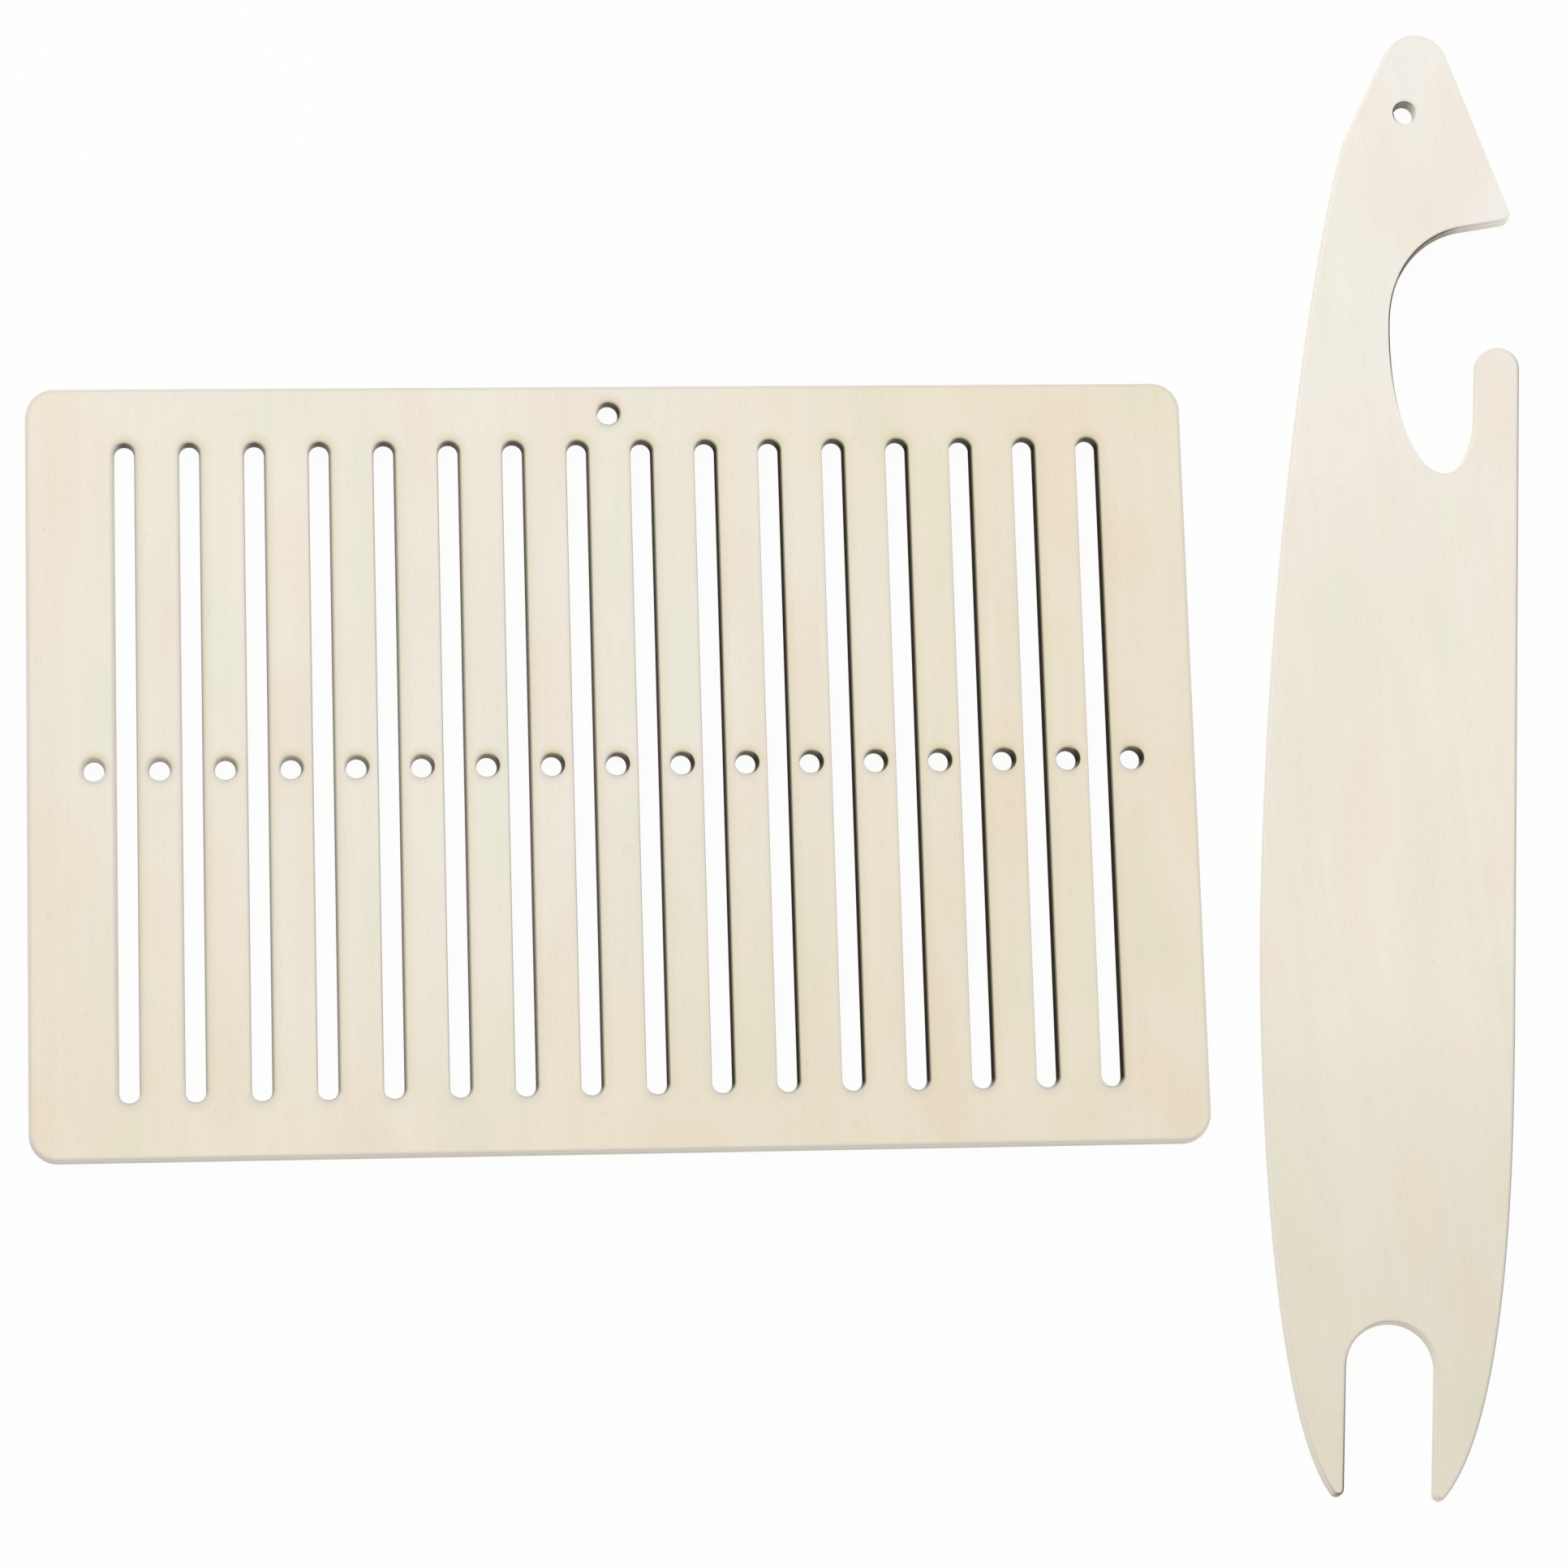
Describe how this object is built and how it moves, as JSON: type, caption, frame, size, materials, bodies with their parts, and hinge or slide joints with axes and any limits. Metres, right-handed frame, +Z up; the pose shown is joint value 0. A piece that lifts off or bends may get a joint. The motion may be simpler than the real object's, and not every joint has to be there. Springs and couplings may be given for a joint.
{
  "type": "belt weaving loom",
  "caption": "Flat wooden heddle card, with slots and eyes in turn for the warp of a woven belt or band, beside a flat netting shuttle with a hook notch and a forked foot.",
  "frame": {"origin": "axis of the middle eye of the heddle card, at the back face that lies on the table", "axes": "+Z up, out of the front face; +Y along the slots, towards the card's hanging hole; +X across the slots, towards the shuttle"},
  "size_m": [0.274, 0.272, 0.003],
  "materials": {
    "heddle_wood": "bare, sanded pale wood with laser-browned cut edges",
    "shuttle_wood": "bare, sanded pale wood with lightly browned cut edges"
  },
  "bodies": {
    "heddle": {"heddle": "heddle_wood"},
    "shuttle": {"shuttle": "shuttle_wood"}
  },
  "joints": [
    {"name": "shuttle_lift", "type": "slide", "parent": "heddle", "child": "shuttle", "axis": [0, 0, 1], "range_m": [0, 0.1]}
  ]
}
